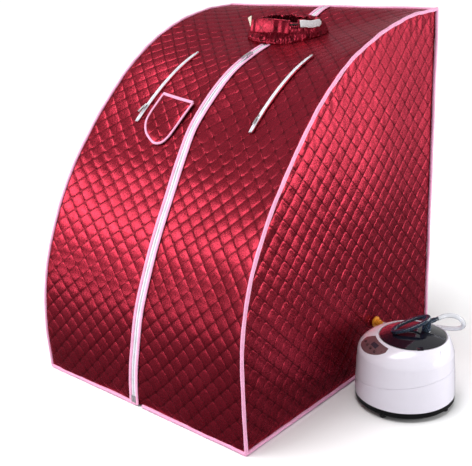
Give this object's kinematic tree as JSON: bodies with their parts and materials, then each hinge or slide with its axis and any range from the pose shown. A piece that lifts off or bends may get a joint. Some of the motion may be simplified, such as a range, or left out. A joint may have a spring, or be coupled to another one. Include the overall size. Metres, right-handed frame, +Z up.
{
  "type": "portable steam sauna",
  "caption": "Quilted one-person steam tent on a rod frame with a zipped bowed front, neck collar and arm zips, fed by a hose from a round electric steam generator.",
  "frame": {"origin": "centre of the tent's rectangular base on the floor, under its mat", "axes": "+Z up, -Y towards the zipped front, +X towards the side where the steam generator stands"},
  "size_m": [1.0508, 0.8726, 0.9806],
  "materials": {
    "quilted_satin": "satin quilted in diamonds, padded",
    "piping": "satin bias tape",
    "zip_tape": "woven polyester tape",
    "zip_metal": "nickel plated",
    "floor_cloth": "coated cloth",
    "drawcord": "braided cord",
    "hook_tape": "hook tape",
    "steel_tube": "powder coated",
    "rod": "glass-fibre rod",
    "connector": "moulded",
    "ferrule": "drawn",
    "inlet_plastic": "moulded",
    "housing_plastic": "high gloss",
    "base_plastic": "gloss black",
    "foot_rubber": "matt",
    "panel_plastic": "dark film",
    "display_glass": "tinted window",
    "tank_steel": "pressed",
    "heater_metal": "cast",
    "circuit": "circuit board",
    "screw_steel": "plated",
    "hose_plastic": "soft translucent tube",
    "lid_plastic": "smoked, glossy",
    "handle_plastic": "smoke blue, clear",
    "seal_rubber": "silicone",
    "button_plastic": "moulded"
  },
  "bodies": {
    "tent": {"arm_zips": "zip_tape", "base_screws": "screw_steel", "bow_ferrules": "ferrule", "bow_rod_left": "rod", "bow_rod_right": "rod", "control_board": "circuit", "control_panel": "panel_plastic", "corner_connectors": "connector", "cover_left": "quilted_satin", "cover_right": "quilted_satin", "display_window": "display_glass", "edge_piping": "piping", "floor_mat": "floor_cloth", "floor_tube_front": "steel_tube", "floor_tube_left": "steel_tube", "floor_tube_rear": "steel_tube", "floor_tube_right": "steel_tube", "heater": "heater_metal", "inlet_fitting": "inlet_plastic", "inlet_nut": "inlet_plastic", "neck_collar": "quilted_satin", "neck_drawcord": "drawcord", "pocket": "quilted_satin", "pocket_binding": "piping", "power_inlet": "base_plastic", "rear_panel": "quilted_satin", "rear_post_left": "steel_tube", "rear_post_right": "steel_tube", "side_piping_left": "piping", "side_piping_right": "piping", "side_wall_left": "quilted_satin", "side_wall_right": "quilted_satin", "steam_hose": "hose_plastic", "steamer_base": "base_plastic", "steamer_feet": "foot_rubber", "steamer_housing": "housing_plastic", "top_tube_rear": "steel_tube", "water_tank": "tank_steel", "zip_bindings_fixed": "piping", "zips_fixed": "zip_tape"},
    "door_left": {"door_left": "quilted_satin", "door_zip_left": "zip_tape", "door_binding_left": "piping"},
    "door_right": {"door_right": "quilted_satin", "door_zip_right": "zip_tape", "door_binding_right": "piping"},
    "main_slider": {"main_zip_slider": "zip_metal"},
    "main_pull": {"main_zip_pull": "zip_metal"},
    "arm_slider_left": {"arm_zip_slider_left": "zip_metal"},
    "arm_slider_right": {"arm_zip_slider_right": "zip_metal"},
    "collar_strap": {"collar_strap": "quilted_satin", "hook_patch": "hook_tape"},
    "lid": {"steam_lid": "lid_plastic", "lid_seal": "seal_rubber", "lid_handle": "handle_plastic", "outlet_barb": "handle_plastic"},
    "power_button": {"power_button": "button_plastic"},
    "time_button": {"time_button": "button_plastic"},
    "temperature_button": {"temperature_button": "button_plastic"},
    "timer_button": {"timer_button": "button_plastic"}
  },
  "joints": [
    {"name": "door_right_fold", "type": "hinge", "parent": "tent", "child": "door_right", "pos_m": [0.372, -0.428, 0], "axis": [0, 0.49, 0.8717], "range_deg": [0, 95]},
    {"name": "door_left_fold", "type": "hinge", "parent": "tent", "child": "door_left", "pos_m": [-0.372, -0.428, 0], "axis": [0, -0.49, -0.8717], "range_deg": [0, 95]},
    {"name": "main_zip_run", "type": "hinge", "parent": "tent", "child": "main_slider", "pos_m": [0, 0.3098, 0.28225], "axis": [1, 0, 0], "range_deg": [0, 29]},
    {"name": "main_pull_tilt", "type": "hinge", "parent": "main_slider", "child": "main_pull", "pos_m": [0, 0.06988, 0.8743], "axis": [-1, 0, 0], "range_deg": [0, 120]},
    {"name": "arm_zip_run_left", "type": "hinge", "parent": "tent", "child": "arm_slider_left", "pos_m": [-0.13818, 0.32088, 0.22723], "axis": [-0.9811, 0.1934, 0], "range_deg": [-1.5, 17]},
    {"name": "arm_zip_run_right", "type": "hinge", "parent": "tent", "child": "arm_slider_right", "pos_m": [0.26208, 0.34415, 0.2377], "axis": [-0.9901, 0.1404, 0], "range_deg": [-1.5, 17]},
    {"name": "collar_strap_lift", "type": "hinge", "parent": "tent", "child": "collar_strap", "pos_m": [0.10133, 0.16663, 0.952], "axis": [0, 0, -1], "range_deg": [0, 110]},
    {"name": "lid_lift", "type": "slide", "parent": "tent", "child": "lid", "axis": [0, 0, 1], "range_m": [0, 0.05], "deforming": ["steam_hose"]},
    {"name": "power_button_press", "type": "slide", "parent": "tent", "child": "power_button", "axis": [0.4035, 0.3698, -0.8369], "range_m": [0, 0.001], "stiffness_N_per_m": 400, "springref_m": -0.0005},
    {"name": "time_button_press", "type": "slide", "parent": "tent", "child": "time_button", "axis": [0.3444, 0.4479, -0.8251], "range_m": [0, 0.001], "stiffness_N_per_m": 400, "springref_m": -0.0005},
    {"name": "temperature_button_press", "type": "slide", "parent": "tent", "child": "temperature_button", "axis": [0.2743, 0.5243, -0.8062], "range_m": [0, 0.001], "stiffness_N_per_m": 400, "springref_m": -0.0005},
    {"name": "timer_button_press", "type": "slide", "parent": "tent", "child": "timer_button", "axis": [0.1908, 0.5984, -0.7781], "range_m": [0, 0.001], "stiffness_N_per_m": 400, "springref_m": -0.0005}
  ]
}
